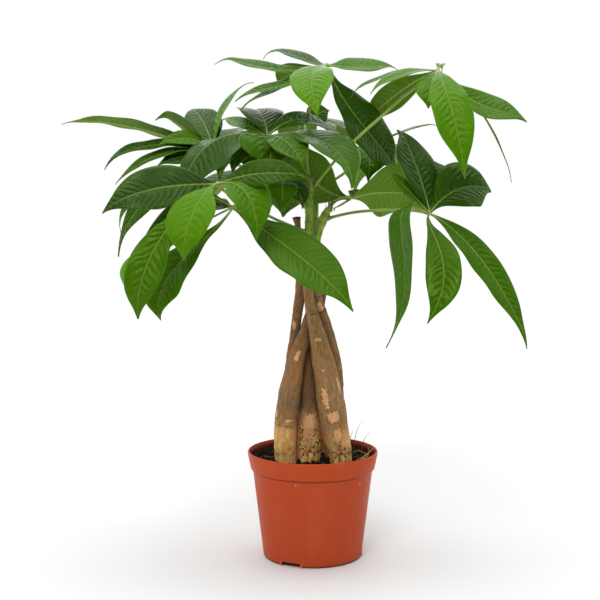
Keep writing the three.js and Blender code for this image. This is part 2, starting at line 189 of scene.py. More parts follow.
# Heights of the old ring scars round each trunk
RINGS = {
    "trunk_front_left": [125.5],
    "trunk_middle": [189],
    "trunk_front_right": [226],
    "trunk_back_right": [158, 228, 241],
    "trunk_back_left": [150, 212, 262],
}

# Green shoots on the cut trunk ends, listed as the trunks are
SHOOTS = {
    "shoot_front": [
        (-4.2, -7, 283, 3.5), (-4, -6.5, 300, 3.4), (-3.6, -5.5, 322, 3.2), (-2.2, -4.5, 345, 2.8),
    ],
    "shoot_right": [(4.6, -1.8, 282, 3.2), (4, -2, 294, 3.4), (9, -1.2, 311, 4), (14.4, 0, 322, 2.5)],
    "shoot_back": [(1, 12, 277, 3.4), (2, 16, 300, 3.2), (2, 26, 330, 3), (-2, 28, 356, 2.7)],
}

# Leaf scars up a shoot, as shares of its height
SCARS = (0.18, 0.42, 0.66, 0.85)

# Material slots in shoots and in leaves
BUD = 1
UPPER, UNDER, STALK = range(3)

# Leaves: where the stalk leaves its shoot, the point it bends to, the hub at its end, and for each leaflet
# how young it is with painted light in the same number: leaflets in shade get lower numbers and darker
# colour, brightly lit ones higher numbers and lighter colour, and 0 gives the grey-green of a painted sheen.
# Each leaflet has its tip's x, y and z, the angle in degrees at which its rib leaves the hub, its width, the
# turn of the blade about its rib in degrees, as one number or as two for its ends, and how far the rib bows
# sideways. Some go on: how far the rib's two control points are moved in x and z, how near the tip the
# blade is widest, with 1 for its middle, how far the tip hooks down, and how far the blade folds up from its
# rib, or down if it is below 0.
LEAVES = {
    "leaf_front_left": {
        "root": (-4, -6.6, 300), "bend": (-70, -30, 326), "hub": (-82, -70, 345),
        "youth": (0.0, 0.15, 0.4, 0.6, 0.48, 0.12),
        "leaflets": [
            (-178, -92, 322, 0, 40, -64, 0, (0, 0, -4, 6), 0.9, 4),
            (-151, -80, 291, -12, 24, -50, 0, (4, -9, 12, -7)),
            (-147, -112, 234, -24, 32, -46, 0, (8, 4, -10, 2), 2.1),
            (-109, -118, 284, 0, 42, -10, 0, (6, 0, -1, 0), 1.6),
            (-46, -106, 300, 10, 38, 16, 0, (6, 2, 6, 2), 1.1),
            (-6, -90, 352, 22, 27, 56, 0),
        ],
    },
    "leaf_low_left": {
        "root": (-4.2, -6.8, 293), "bend": (-42, -34, 294), "hub": (-70, -50, 325),
        "youth": (0.34, 0.45, 0.8, 0.25, 0.3, 0.15),
        "leaflets": [
            (33, -112, 242, -32, 45, 36, 0, (-4, 2, 6, 5), 1.12),
            (-132, -82, 229, -38, 37, -36, 0, (18, 2, -25, 3), 1.9),
            (-164, -54, 251, -12, 36, -34, 0, (0, -12, -24, -18), 2.2),
            (-174, -42, 281, 14, 27, -50, 0, (-10, 16, -13, 26)),
            (-172, -34, 299, 16, 12, -50, 0, (-10, 14, -34, 22)),
            (-98, -38, 325, 4, 24, -30, 0),
        ],
    },
    "leaf_centre": {
        "root": (-3.4, -5.2, 328), "bend": (-24, -16, 345), "hub": (-40, -30, 386),
        "youth": (0.0, 0.2, 0.4, 0.0, 0.1, 0.3, 0.3, 0.3, 0.15, 0.25, 0.2),
        "leaflets": [
            (-118, -52, 320, 6, 61, (0, -44), -8, (7, 3, -6, 24), 0.95, 3, -0.4),
            (-82, -60, 346, 6, 26, -10, -9),
            (-84, 30, 405, 18, 20, -16, 0),
            (-59, 42, 410, 50, 42, 0, 0, (0, 0, 0, 0), 1.0, 0),
            (24, 8, 389, 24, 26, 26, 0, (-2, 10, 0, 8), 1.0, 1),
            (34, -84, 343, 6, 50, 8, 12, (4, 1, 5, 6)),
            (-8, -80, 360, 4, 32, 20, 0),
            (-37, -58, 354, 8, 54, 0, 0, (0, 0, 0, 0), 0.85),
            (-55, -46, 350, 8, 40, 0, 0),
            (-72, -40, 352, 8, 32, -30, 0),
            (-24, -40, 352, 6, 30, 0, 0),
        ],
    },
    "leaf_top": {
        "root": (-2.2, -4, 342), "bend": (-14, 2, 408), "hub": (13, 0, 450),
        "youth": (0.3, 0.64, 0.4, 0.3, 0.06, 0.5, 0.14, 0.7),
        "leaflets": [
            (-86, -10, 457, 4, 23, -22, 0, (0, -14, 0, -5), 1.15, 8),
            (3, -78, 402, 6, 38, 0, -8, (-2, -7, 0, 0), 1.15),
            (-69, -34, 419, -10, 19, -20, 0, (0, -15, 0, -4)),
            (-66, -14, 411, -16, 15, -20, 0, (0, -8, 0, -1)),
            (-47, 30, 460, 30, 23, -16, 0, (0, -14, 0, 9), 0.85, 3),
            (78, 20, 450, 20, 31, 30, 0, (0, -11, -4, -6), 0.9),
            (82, 44, 353, -56, 47, 76, 0, (-9, -2, 4, 2), 1.15),
            (-31, 40, 434, 4, 26, 40, 0, (0, -6, -10, 0), 1.5),
        ],
    },
    "leaf_upper_right": {
        "root": (-1.6, -4.4, 338), "bend": (38, -12, 392), "hub": (111, -12, 444),
        "youth": (0.3, 0.5, 0.3, 0.5, 0.6, 0.42, 0.4, 0.5),
        "leaflets": [
            (31, -20, 423, 10, 20, -12, 0, (0, -2, 0, -2)),
            (48, -52, 424, 4, 16, -16, 0),
            (45, 52, 398, -22, 26, 48, 0, (-4, 5, 0, 1), 1.1),
            (98, -52, 411, -6, 26, 0, 0, (0, 0, 0, 0), 1.6),
            (128, -84, 350, -6, 35, 4, -3, (-9, 0, -4, 0), 1.25),
            (188, -30, 401, -26, 32, 40, 0, (0, -21, 3, -8)),
            (180, -12, 346, -38, 12, 6, 0, (7, 0, -2, 0)),
            (118, 22, 449, 40, 9, 0, 0),
        ],
    },
    "leaf_right": {
        "root": (12, -1.2, 312), "bend": (58, -8, 326), "hub": (104, -20, 318),
        "youth": (0.07, 0.12, 0.35, 0.36, 0.4, 0.45, 0.1),
        "leaflets": [
            (79, 16, 395, 70, 41, 0, 0),
            (162, -6, 338, 48, 57, 48, 0, (0, 4, 2, 8), 1.25),
            (189, -62, 203, -38, 28, 32, 0, (4, 8, 0, 3), 0.85, 6),
            (95, -96, 229, -12, 31, 4, 12, (-25, 0, 20, 0), 1.7),
            (60, -70, 206, 10, 35, 22, 5, (-36, 24, 40, -30), 0.85),
            (66, -16, 357, 46, 17, -40, 0),
            (112, 24, 367, 62, 34, 0, 0),
        ],
    },
    "leaf_inner_right": {
        "root": (14.8, -0.2, 320), "bend": (20, 6, 333), "hub": (34, 20, 330),
        "youth": (0.5, 0.35, 0.5, 0.3),
        "leaflets": [
            (108, 48, 334, 8, 60, -54, 0, (6, 6, 0, -2)),
            (-20, 11, 388, 20, 44, 72, 0, (-5, -4, -4, -3)),
            (18, -4, 322, -30, 13, 20, 0),
            (70, 84, 330, 14, 34, 0, 0),
        ],
    },
    "leaf_upper_left": {
        "root": (-1.8, 27.4, 352), "bend": (-46, 30, 346), "hub": (-91, 30, 371),
        "youth": (0.3, 0.06, 0.2, 0.4, 0.06, 0.2, 0.5, 0.45, 0.12),
        "leaflets": [
            (-229, 12, 400, 30, 32, 19, 0, (0, -8, 0, 1)),
            (-189, -14, 363, 14, 27, -18, 0, (0, 4, -2, 5), 1.0, 8),
            (-175, -34, 346, 8, 19, -14, 0, (0, 4, 2, 4)),
            (-142, 52, 409, 42, 34, 30, 0, (0, 0, -8, 5), 1.0, 9),
            (-118, 96, 416, 52, 34, -16, 0),
            (-66, 88, 397, 36, 30, 0, 0),
            (-57, 46, 440, 62, 17, 0, 8, (-8, 5, -10, 5)),
            (-142, 2, 379, 52, 20, -40, 0),
            (-139, -18, 361, 0, 18, -40, 0),
        ],
    },
    "leaf_young": {
        "root": (-3.6, -5.6, 320), "bend": (-16, -12, 330), "hub": (-26, -20, 347),
        "youth": (0.45, 0.2, 0.0, 0.5),
        "leaflets": [
            (-28, -48, 320, 10, 26, -10, 0),
            (-8, -34, 323, -10, 24, 14, 0),
            (-26, 2, 314, -20, 38, 20, 0),
            (-52, -22, 340, 12, 12, -10, 0),
        ],
    },
    "leaf_back_left": {
        "root": (1.9, 24.8, 326), "bend": (-26, 46, 330), "hub": (-52, 78, 352),
        "youth": (0.25, 0.3, 0.35, 0.3),
        "leaflets": [
            (-132, 72, 306, 4, 40, -20, 0),
            (-116, 132, 304, 4, 42, -10, 0),
            (-46, 160, 306, 4, 42, 0, 0),
            (-2, 130, 330, 8, 34, 14, 0),
        ],
    },
    "leaf_back_right": {
        "root": (1.2, 27, 338), "bend": (28, 50, 345), "hub": (56, 76, 376),
        "youth": (0.45, 0.4, 0.35, 0.5, 0.45),
        "leaflets": [
            (52, 34, 346, 4, 34, -10, 0),
            (122, 80, 400, 34, 22, 0, 0),
            (132, 96, 334, 6, 40, 14, 0),
            (104, 146, 332, 6, 42, 6, 0),
            (44, 156, 334, 6, 42, 0, 0),
        ],
    },
    "leaf_back": {
        "root": (-1.6, 27.6, 353), "bend": (-8, 46, 402), "hub": (-6, 70, 400),
        "youth": (0.2, 0.1, 0.35, 0.45, 0.4, 0.3),
        "leaflets": [
            (56, 86, 380, 10, 34, 14, 0),
            (17, 84, 413, 44, 22, 62, 0, (0, 0, 0, 0), 1.0, 1),
            (40, 132, 368, 12, 36, 8, 0),
            (-20, 150, 362, 12, 38, 0, 0),
            (-66, 116, 368, 10, 36, -12, 0),
            (22, 40, 388, 10, 26, 0, 0),
        ],
    },
}

# Blades: half width along the rib as a share of the widest, and measures of their form and veins
LEAFLET_OUTLINE = [0.05, 0.2, 0.47, 0.76, 0.94, 1, 0.98, 0.86, 0.6, 0.24, 0.03]
TIP_HALF_WIDTH = 0.35
BLADE_FOLD = 0.16
BLADE_THICKNESS = 0.45
MARGIN_THICKNESS = 0.16
ROW_LENGTH = 2.4
COLUMNS = 9
VEIN_SPACING = 6.2
VEIN_SLANT = 0.42
RIB_HALF_WIDTH = 0.8
RIB_SUNK = 0.12
RIB_RAISED = 0.55
WAVE_LENGTH = 34
HOOK_START = 0.86
BLADE_VALUES = ("along", "across", "reach", "edge", "vein", "tone", "youth")

# Stalks, and the joints between a stalk's hub and its leaflets
STALK_RADIUS = 1.3
STALK_FOOT_RADIUS = 2.3
STALK_STRAY = 1.2
HUB_RADIUS = 2.7
JOINT_LENGTH = 16
JOINT_RADIUS = 1.25
JOINT_END_RADIUS = 0.4
JOINT_SINK = 0.35
STALK_RING_LENGTH = 1.6

# How light spreads inside a blade
LEAF_FLESH = {
    "Subsurface_Weight": 0.55, "Subsurface_Radius": (0.35, 1.0, 0.12), "Subsurface_Scale": 0.7 * MM,
}

# Suns: the direction each shines from, its strength, and its angle across in degrees
SUNS = {
    "key": ((-0.25, -1.0, 0.95), 1.1, 22),
    "overhead": ((-0.1, -0.15, 1.0), 0.95, 60),
    "softbox": ((0.05, 0.0, 1.0), 0.4, 30),
}

# Brightness of the studio above and behind the plant, and on the side of the camera
WORLD_BRIGHT = 1.25
WORLD_DIM = 0.1

# Camera: its place in metres, degrees below level, and millimetres of lens and sensor
CAMERA_PLACE = (-0.0117, -1.2, 0.3675)
CAMERA_PITCH = 6.16
CAMERA_LENS = 79.3
SENSOR_WIDTH = 36


def smoothstep(value, low, high):
    """Rises smoothly from 0 to 1 while the value goes from low to high."""
    share = min(1, max(0, (value - low) / (high - low)))
    return share * share * (3 - 2 * share)


def mixed(low, high, share):
    """A number between low and high."""
    return low + (high - low) * share


def bell(distance, width):
    """1 at no distance and close to 0 beyond twice the width."""
    return math.exp(-(distance / width) ** 2)


# Meshes

def write_values(mesh, title, column):
    """Writes a number or a vector for each point of a mesh."""
    if isinstance(column[-1], Vector):
        flat = [number for entry in column for number in entry]
        mesh.attributes.new(title, "FLOAT_VECTOR", "POINT").data.foreach_set("vector", flat)
    else:
        mesh.attributes.new(title, "FLOAT", "POINT").data.foreach_set("value", column)


class Shape:
    """Points in millimetres, faces with their material slots, and named values at the points."""

    def __init__(self):
        self.points = []
        self.faces = []
        self.slots = []
        self.values = {}

    def add(self, points, faces, slots=0, **values):
        """Adds points and faces, whose slots are one number for all or a list."""
        start = len(self.points)
        self.points.extend(points)
        self.faces.extend(tuple(start + corner for corner in face) for face in faces)
        self.slots.extend(slots if isinstance(slots, list) else [slots] * len(faces))
        for name in sorted(set(self.values) | set(values)):
            blank = Vector() if name == "grain" else 0.0
            column = self.values.setdefault(name, [])
            column.extend([blank] * (start - len(column)))
            column.extend(values.get(name, [blank] * len(points)))

    def piece(self, name, materials, node=None):
        """The shape as an object that rides on the plant and stands for a node."""
        mesh = bpy.data.meshes.new(name)
        mesh.from_pydata([point * MM for point in self.points], [], self.faces)
        mesh.polygons.foreach_set("material_index", self.slots)
        mesh.polygons.foreach_set("use_smooth", [True] * len(self.faces))
        for title, column in self.values.items():
            write_values(mesh, title, column)
        for material in materials:
            mesh.materials.append(material)
        mesh.update()
        made = bpy.data.objects.new(name, mesh)
        scene.collection.objects.link(made)
        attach(made, "root")
        if node:
            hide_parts(node)
        return made


def circle(radius, height, sides):
    """The points of a level ring round the upright axis."""
    turns = [2 * math.pi * k / sides for k in range(sides)]
    return [Vector((radius * math.cos(turn), radius * math.sin(turn), height)) for turn in turns]


def bands(start, count, sides):
    """Faces between rings of points that follow each other, seen from outside if the rings rise."""
    faces = []
    for low in range(start, start + count * sides, sides):
        for k in range(sides):
            k2 = (k + 1) % sides
            faces.append((low + k, low + k2, low + sides + k2, low + sides + k))
    return faces


def fan(middle, start, sides):
    """Faces between a point and a ring of points."""
    return [(middle, start + k, start + (k + 1) % sides) for k in range(sides)]


def flipped(faces):
    """The faces seen from their other side."""
    return [face[:1] + face[:0:-1] for face in faces]


# Curves

def part_way(entries, along):
    """The number of the entry before a place along a list, and the share of the way to the next."""
    place = along * (len(entries) - 1)
    low = min(int(place), len(entries) - 2)
    return low, place - low


def through(line, along):
    """Place and direction on the centripetal Catmull-Rom curve through a list of points."""
    points = [Vector(entry[:3]) for entry in line]
    here = curve_place(points, along)
    ahead = curve_place(points, min(1, along + 1e-4))
    behind = curve_place(points, max(0, along - 1e-4))
    return here, (ahead - behind).normalized()


def curve_place(points, along):
    """Place on that curve, for a share of the way from the first point to the last."""
    low, share = part_way(points, along)
    before = points[low - 1] if low > 0 else 2 * points[0] - points[1]
    start, end = points[low], points[low + 1]
    after = points[low + 2] if low + 2 < len(points) else 2 * points[-1] - points[-2]
    gap0, gap1, gap2 = [math.sqrt((b - a).length) for a, b in ((before, start), (start, end), (end, after))]
    leave = (start - before) / gap0 - (end - before) / (gap0 + gap1) + (end - start) / gap1
    arrive = (end - start) / gap1 - (after - start) / (gap1 + gap2) + (after - end) / gap2
    leave, arrive = leave * gap1, arrive * gap1
    square, cube = share * share, share ** 3
    return (
        start + leave * share
        + (3 * (end - start) - 2 * leave - arrive) * square
        + (2 * (start - end) + leave + arrive) * cube
    )


def bezier(points, along):
    """Place and direction on the Bezier curve with these control points."""
    while len(points) > 2:
        points = [start.lerp(end, along) for start, end in zip(points, points[1:])]
    return points[0].lerp(points[1], along), (points[1] - points[0]).normalized()


def eased(table, along):
    """A smooth value along a list of evenly spaced ones."""
    low, share = part_way(table, along)
    start, end = table[low], table[low + 1]
    before = table[max(low - 1, 0)]
    after = table[min(low + 2, len(table) - 1)]
    return 0.5 * (
        2 * start + (end - before) * share
        + (2 * before - 5 * start + 4 * end - after) * share ** 2
        + (3 * start - before - 3 * end + after) * share ** 3
    )


def tube(shape, route, radius, swell, sides, rings, slot=0, dome=0.0):
    """A round limb closed at both ends, the last one with a low dome.

    For a share of its length, route(along) gives place and direction and radius(along) the plain
    radius. swell gives each point's place and its named values.
    """
    side = Vector((1, 0, 0))
    points = []
    columns = {}
    length = 0.0
    previous = route(0)[0]
    for i in range(rings + 1):
        along = i / rings
        middle, forward = route(along)
        length += (middle - previous).length
        previous = middle
        side = (side - forward * side.dot(forward)).normalized()
        across = forward.cross(side)
        base = radius(along)
        for k in range(sides):
            turn = 2 * math.pi * k / sides
            out = side * math.cos(turn) + across * math.sin(turn)
            grain = Vector((base * math.cos(turn), base * math.sin(turn), length))
            place, values = swell(middle, out, base, grain, along)
            points.append(place)
            for name, value in {"grain": grain, **values}.items():
                columns.setdefault(name, []).append(value)
    points.append(middle + forward * dome)
    for column in columns.values():
        column.append(column[-1])
    last = rings * sides
    faces = bands(0, rings, sides) + [tuple(reversed(range(sides)))] + fan(last + sides, last, sides)
    shape.add(points, faces, slot, **columns)


def limb(shape, line, swell, sides, rings, slot=0, dome=0.0):
    """A tube through a list of places with their radii."""
    def route(along):
        return through(line, along)

    def radius(along):
        low, share = part_way(line, along)
        return mixed(line[low][3], line[low + 1][3], share)

    tube(shape, route, radius, swell, sides, rings, slot, dome)


# Nodes of materials

def linear(colour):
    """Red, green and blue from 0 to 255 as the linear colour that shaders take."""
    shares = [value / 255 for value in colour]
    return (*[s / 12.92 if s <= 0.04045 else ((s + 0.055) / 1.055) ** 2.4 for s in shares], 1)


class Value:
    """The output of a new node. Each sum, product or call made with it adds another node."""

    def __init__(self, tree, kind, inputs, output=0, **settings):
        made = tree.nodes.new(kind)
        for title, setting in settings.items():
            setattr(made, title, setting)
        for title, value in inputs.items():
            if isinstance(value, Value):
                tree.links.new(value.socket, made.inputs[title])
            else:
                made.inputs[title].default_value = value
        self.tree = tree
        self.socket = made.outputs[output] if made.outputs else None

    def math(self, operation, other=0.0):
        return Value(self.tree, "ShaderNodeMath", {0: self, 1: other}, operation=operation)

    def __add__(self, other):
        return self.math("ADD", other)

    def __sub__(self, other):
        return self.math("SUBTRACT", other)

    def __rsub__(self, other):
        return self * -1 + other

    def __mul__(self, other):
        return self.math("MULTIPLY", other)

    def step(self, low, high, bottom=0.0, top=1.0):
        """Goes smoothly from bottom to top while this value goes from low to high."""
        names = ("Value", "From Min", "From Max", "To Min", "To Max")
        inputs = dict(zip(names, (self, low, high, bottom, top)))
        return Value(self.tree, "ShaderNodeMapRange", inputs, interpolation_type="SMOOTHSTEP")

    def mix(self, first, second):
        """A colour between two, each a Value or red, green and blue from 0 to 255."""
        first, second = [linear(end) if isinstance(end, tuple) else end for end in (first, second)]
        return Value(self.tree, "ShaderNodeMix", {0: self, 6: first, 7: second}, 2, data_type="RGBA")

    def tinted(self, share, colour):
        """This colour with a share of another."""
        return share.mix(self, colour)

    def stretched(self, across, upward):
        """This place for a drawn-out texture: the smaller the number, the longer."""
        return Value(self.tree, "ShaderNodeMapping", {"Vector": self, "Scale": (across, across, upward)})

    def noise(self, scale, detail=3, roughness=0.55, output="Fac"):
        inputs = {"Vector": self, "Scale": scale, "Detail": detail, "Roughness": roughness}
        return Value(self.tree, "ShaderNodeTexNoise", inputs, output)

    def cells(self, scale, feature="F1"):
        inputs = {"Vector": self, "Scale": scale}
        return Value(self.tree, "ShaderNodeTexVoronoi", inputs, "Distance", feature=feature)

    def bump(self, millimetres, under=None):
        """A surface with this height, laid over another."""
        inputs = {"Strength": 1.0, "Distance": millimetres * MM, "Height": self}
        if under:
            inputs["Normal"] = under
        return Value(self.tree, "ShaderNodeBump", inputs)


class Paint:
    """A new material: what it reads from the mesh, and its shader."""

    def __init__(self, name):
        self.material = bpy.data.materials.new(name)
        self.material.use_nodes = True
        self.tree = self.material.node_tree
        self.tree.nodes.clear()

    def value(self, name, output="Fac"):
        return Value(self.tree, "ShaderNodeAttribute", {}, output, attribute_name=name)

    def grain(self):
        return self.value("grain", "Vector")

    def place(self):
        return Value(self.tree, "ShaderNodeTexCoord", {}, "Object")

    def finish(self, **inputs):
        inputs = {title.replace("_", " "): value for title, value in inputs.items()}
        shader = Value(self.tree, "ShaderNodeBsdfPrincipled", inputs)
        Value(self.tree, "ShaderNodeOutputMaterial", {"Surface": shader})
        return self.material


# Materials

def blade_pattern(paint):
    """What both faces of a blade share: rib, side veins, fine net and mottling, each from 0 to 1."""
    part = SimpleNamespace(**{name: paint.value(name) for name in BLADE_VALUES})
    spread = {"X": part.along, "Y": part.across, "Z": part.tone * 90}
    part.place = Value(paint.tree, "ShaderNodeCombineXYZ", spread)
    part.rib = part.across.math("ABSOLUTE").math("DIVIDE", 1 - part.reach * 0.75).step(1.15, 0.55)
    vein = part.vein + (part.place.noise(0.07, 2) - 0.5) * 1.6
    to_vein = vein.math("PINGPONG", 0.5) * VEIN_SPACING
    part.side_vein = to_vein.step(0.42, 0.1) * part.edge.step(0.95, 0.5)
    part.net = part.place.cells(0.55, "DISTANCE_TO_EDGE").step(0.09, 0.02)
    part.mottle = part.place.noise(0.09, 4, 0.6)
    ridge = (vein * (2 * math.pi)).math("COSINE")
    away = part.edge.step(0, 0.16) * part.edge.step(0.8, 0.2, 0.12, 1)
    part.pleat = ridge * away * part.place.noise(0.05, 1).step(0.35, 0.6, 0.3, 1)
    return part


def blade_top():
    """Glossy upper face: dark green, pale rib, side veins sunk between soft pleats, and a painted grey-green
    sheen on leaflets whose number is near 0.
    """
    paint = Paint("leaf_upper_face")
    part = blade_pattern(paint)
    shade = part.mottle * 0.5 + part.tone * 0.3 - 0.2
    # Painted sheen: the grey-green that a glossy face shows when it mirrors the bright studio, for leaflets
    # whose number is near 0.
    painted_sheen_green = shade.mix((40, 70, 26), (62, 96, 42))
    ripe = shade.mix((34, 68, 4), (56, 100, 12))
    new = shade.mix((82, 140, 2), (120, 176, 8))
    # The leaflet's number picks painted sheen, dark green or young yellow-green; it holds painted shade and
    # light as well as youth.
    colour = painted_sheen_green.tinted(part.youth.step(0, 0.12), ripe).tinted(part.youth.step(0.05, 1), new)
    colour = colour.tinted(part.net * 0.06, (120, 160, 60))
    colour = colour.tinted(part.side_vein * 0.14, (112, 148, 50))
    colour = colour.tinted(part.rib * 0.8, (128, 158, 60))
    colour = colour.tinted(part.edge.step(0.955, 0.995) * 0.4, (130, 160, 60))
    swollen = part.pleat * part.youth.step(0, 0.5, -0.9, -0.45)
    crinkle = part.place.noise(0.5) * part.edge.step(0.7, 0.1, 0.25, 1)
    surface = (swollen - part.side_vein * 0.4).bump(0.62)
    surface = crinkle.bump(0.5, surface)
    surface = part.place.noise(1.6).bump(0.07, surface)
    surface = (part.rib * -1).bump(0.25, surface)
    return paint.finish(
        Base_Color=colour, Roughness=part.mottle * 0.18 + 0.1, Normal=surface, IOR=1.46,
        Specular_IOR_Level=0.2, Specular_Tint=(0.75, 1.0, 0.25, 1), **LEAF_FLESH,
    )


def blade_underside():
    """Matt underside: paler, with raised rib and veins."""
    paint = Paint("leaf_underside")
    part = blade_pattern(paint)
    shade = part.mottle * 0.6 - 0.05
    # The leaflet's number holds painted light as well as youth: leaflets in shade come out darker.
    colour = part.youth.mix(
        shade.mix((72, 108, 18), (108, 142, 34)), shade.mix((100, 146, 20), (138, 176, 38)))
    colour = colour.tinted(part.net * 0.18, (150, 172, 96))
    colour = colour.tinted(part.side_vein * 0.5, (160, 180, 100))
    colour = colour.tinted(part.rib * 0.85, (170, 190, 110))
    surface = (part.side_vein + part.net - part.pleat * 0.4).bump(0.22)
    return paint.finish(
        Base_Color=colour, Roughness=0.55, Normal=surface, IOR=1.4, Specular_IOR_Level=0.12, **LEAF_FLESH)


def stalk_skin():
    """Smooth green stalk with faint long streaks, lighter and yellower with its leaflets' youth and painted
    light, and pale at its knuckles.
    """
    paint = Paint("leaf_stalk")
    streak = paint.grain().stretched(1.2, 0.08).noise(1, 4)
    youth = paint.value("youth")
    dark = youth.mix((72, 104, 34), (132, 168, 48))
    pale = youth.mix((112, 142, 52), (186, 208, 92))
    colour = streak.step(0.35, 0.65).mix(dark, pale)
    colour = colour.tinted(paint.value("knuckle") * 0.55, (150, 168, 88))
    return paint.finish(
        Base_Color=colour, Roughness=0.42, Normal=streak.bump(0.12),
        Subsurface_Weight=0.3, Subsurface_Radius=(0.5, 1.0, 0.2), Subsurface_Scale=1.0 * MM,
    )


def shoot_skin():
    """Green shoot that turns brown and corky towards its foot, with small pale pores."""
    paint = Paint("shoot_skin")
    streak = paint.grain().stretched(1, 0.12).noise(0.9, 5)
    green = streak.step(0.3, 0.7).mix((92, 132, 20), (156, 184, 56))
    cork = streak.mix((92, 78, 40), (150, 132, 78))
    age = paint.value("age") + (streak - 0.5) * 0.6
    pores = paint.grain().stretched(0.55, 0.32).cells(1).step(0.2, 0.1)
    colour = green.tinted(age.step(0.5, 0.95), cork)
    colour = colour.tinted(pores * 0.5, (190, 186, 120))
    colour = colour.tinted(paint.value("scar") * 0.45, (112, 100, 44))
    return paint.finish(Base_Color=colour, Roughness=0.5, Normal=(streak + pores).bump(0.2))


def bud_skin():
    """Dry brown scales of buds and stipules with green at their foot."""
    paint = Paint("bud_scale")
    streak = paint.grain().stretched(1.5, 0.2).noise(1.2, 4)
    dry = streak.mix((52, 38, 20), (116, 92, 48))
    colour = paint.value("age").step(0.25, 0.7).mix((120, 142, 54), dry)
    return paint.finish(Base_Color=colour, Roughness=0.6, Normal=streak.bump(0.15))


def bark():
    """Grey-brown bark with long fibres, specks and ring scars, a cracked tan foot and peeled patches."""
    paint = Paint("bark")
    grain = paint.grain()
    strands = grain.stretched(1, 0.16).noise(0.75, 6, 0.65)
    grit = grain.stretched(1, 0.6).noise(1.7, 3, 0.7)
    fibre = strands * 0.6 + grit * 0.4
    blotch = grain.stretched(1, 0.55).noise(0.13, 4, 0.6)
    speck = grain.stretched(0.6, 0.75).cells(1).step(0.24, 0.12)
    foot = paint.value("foot") + (blotch - 0.5) * 1.6
    tan, cracks = bark_foot(paint, grain, fibre, blotch, foot)
    colour = bark_upper(paint, grain, fibre, blotch, speck).tinted(foot.step(-0.45, 0.6), tan)

    lichen = grain.noise(0.32, 5, 0.7).step(0.54, 0.64) * foot.math("ABSOLUTE").step(0.9, 0.1)
    colour = colour.tinted(lichen * 0.6, (146, 150, 92))

    ring = (paint.value("ring") + (fibre - 0.5) * 0.7).step(0.35, 0.75)
    colour = colour.tinted(ring * grain.noise(0.3).step(0.4, 0.62, 0.1, 0.6), (66, 56, 38))

    torn = paint.value("peel") + (grain.noise(0.42, 4, 0.7) - 0.5) * 2
    peel = torn.step(0, 0.1)
    colour = colour.tinted(torn.step(-0.2, -0.02) * (1 - peel) * 0.5, (98, 70, 42))
    colour = colour.tinted(peel, fibre.step(0.36, 0.64).mix((204, 144, 94), (238, 188, 134)))

    cut = fibre.mix((62, 36, 26), (120, 78, 54))
    colour = colour.tinted(paint.value("cut").step(0.25, 0.8), cut)
    surface = (fibre - peel * 0.7 - cracks * 1.2 + ring * 0.5 + speck * 0.3).bump(0.55)
    return paint.finish(Base_Color=colour, Roughness=0.72, Normal=surface, Specular_IOR_Level=0.2)


def bark_upper(paint, grain, fibre, blotch, speck):
    """The colour of the bark above the foot: brown or olive, with rusty and mossy clouds and specks,
    darkened by painted shade on trunks that stand in shade.
    """
    streak = fibre.step(0.36, 0.64)
    brown = streak.mix((100, 68, 38), (176, 132, 86)).tinted(blotch.step(0.42, 0.62), (128, 102, 74))
    olive = streak.mix((122, 92, 56), (198, 160, 108))
    rust = fibre.mix((134, 82, 40), (200, 134, 78))
    moss = fibre.mix((84, 78, 50), (140, 126, 88))
    cloud = grain.stretched(1, 0.45).noise(0.085)
    colour = brown.tinted(paint.value("olive"), olive)
    colour = colour.tinted(cloud.step(0.51, 0.65) * 0.65, rust)
    colour = colour.tinted(cloud.step(0.45, 0.33) * 0.5, moss)
    # Painted shade: a trunk that stands in the shade of the others is darkened towards dark brown by its
    # share.
    colour = colour.tinted(paint.value("dark"), (72, 54, 36))
    return colour.tinted(speck * 0.5, (70, 48, 34))


def bark_foot(paint, grain, fibre, blotch, foot):
    """The tan colour of a trunk's foot, and its cracks."""
    tan = fibre.step(0.38, 0.62).mix((210, 158, 86), (255, 228, 156))
    tan = tan.tinted(blotch.step(0.4, 0.6), (228, 162, 94))
    bend = {0: grain.stretched(0.15, 0.1), 1: grain.noise(0.25, 3, 0.5, "Color")}
    bent = Value(paint.tree, "ShaderNodeVectorMath", bend, operation="ADD")
    cracks = bent.cells(1.1, "DISTANCE_TO_EDGE").step(0.13, 0.02) * grain.noise(0.4).step(0.4, 0.54)
    cracks = cracks * paint.value("cracked") * foot.step(0.15, 0.8)
    return tan.tinted(cracks, (78, 36, 20)), cracks


def plastic():
    """Satin terracotta-coloured plastic: faint mottling, pale streaks and specks, painted shade inside the
    rim and painted highlights on the pips.
    """
    paint = Paint("terracotta_plastic")
    place = paint.place()
    cloud = place.noise(22, 4, 0.6)
    flow = place.stretched(1, 0.2).noise(70)
    specks = place.cells(210).step(0.12, 0.05) * place.noise(30, 2).step(0.52, 0.62)
    # Painted shade inside the rim: the inner wall above the soil is darkened almost to black-brown, faintly
    # mottled.
    painted_inside_shade = paint.value("inside") * place.noise(60, 5).step(0.25, 0.6, 0.75, 1)
    colour = cloud.mix((180, 71, 35), (190, 77, 41))
    colour = colour.tinted(flow.step(0.5, 0.75) * 0.18, (200, 104, 70))
    colour = colour.tinted(specks * 0.35, (214, 130, 96))
    colour = colour.tinted(painted_inside_shade * 0.94, (40, 17, 10))
    # Painted highlight: the pips are painted pale where a bright glint falls on them.
    colour = colour.tinted(paint.value("painted_pip_highlight"), (236, 142, 104))
    return paint.finish(
        Base_Color=colour, Roughness=cloud.step(0.3, 0.7, 0.36, 0.5),
        Normal=flow.bump(0.1, place.noise(420).bump(0.05)), IOR=1.48, Specular_IOR_Level=0.09,
    )


